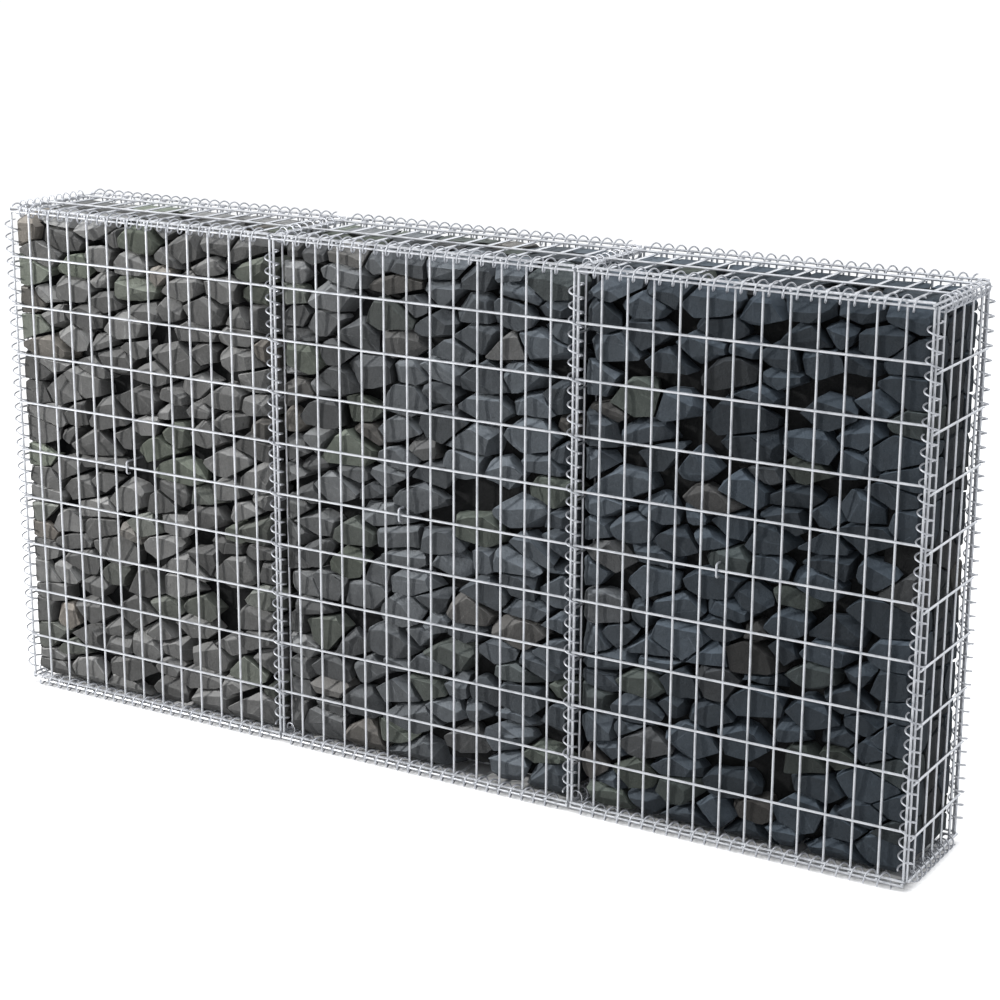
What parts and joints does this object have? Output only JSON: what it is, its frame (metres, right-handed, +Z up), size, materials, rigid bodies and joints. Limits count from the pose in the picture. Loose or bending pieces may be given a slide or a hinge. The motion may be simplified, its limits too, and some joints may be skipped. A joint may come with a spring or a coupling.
{
  "type": "gabion wall",
  "caption": "Free-standing gabion wall: laced cages of welded wire mesh in a row, with tie wires, filled with dark crushed stone.",
  "frame": {"origin": "under the middle of the wall, on the ground that the lowest turns of the lacing touch", "axes": "+X along the wall to the right seen from the front, +Y from the front face to the back, +Z up"},
  "size_m": [1.98, 0.2768, 1.019],
  "materials": {
    "mesh": "galvanised, satin",
    "lacing": "galvanised, satin",
    "tie_wire": "galvanised, satin",
    "stone": null
  },
  "bodies": {
    "root": {"back_panel_left": "mesh", "back_panel_middle": "mesh", "back_panel_right": "mesh", "base_panel_left": "mesh", "base_panel_middle": "mesh", "base_panel_right": "mesh", "bottom_back_spiral_left": "lacing", "bottom_back_spiral_middle": "lacing", "bottom_back_spiral_right": "lacing", "bottom_cross_spirals": "lacing", "bottom_front_spiral_left": "lacing", "bottom_front_spiral_middle": "lacing", "bottom_front_spiral_right": "lacing", "corner_spiral_back_left": "lacing", "corner_spiral_back_right": "lacing", "corner_spiral_front_left": "lacing", "corner_spiral_front_right": "lacing", "front_panel_left": "mesh", "front_panel_middle": "mesh", "front_panel_right": "mesh", "joint_spiral_back_left": "lacing", "joint_spiral_back_right": "lacing", "joint_spiral_front_left": "lacing", "joint_spiral_front_right": "lacing", "left_end_panel": "mesh", "lid_left": "mesh", "lid_middle": "mesh", "lid_right": "mesh", "partition_left": "mesh", "partition_right": "mesh", "right_end_panel": "mesh", "stone_fill_left": "stone", "stone_fill_middle": "stone", "stone_fill_right": "stone", "tie_wire_left": "tie_wire", "tie_wire_middle": "tie_wire", "tie_wire_right": "tie_wire", "top_back_spiral_left": "lacing", "top_back_spiral_middle": "lacing", "top_back_spiral_right": "lacing", "top_cross_spirals": "lacing", "top_front_spiral_left": "lacing", "top_front_spiral_middle": "lacing", "top_front_spiral_right": "lacing"}
  },
  "joints": []
}
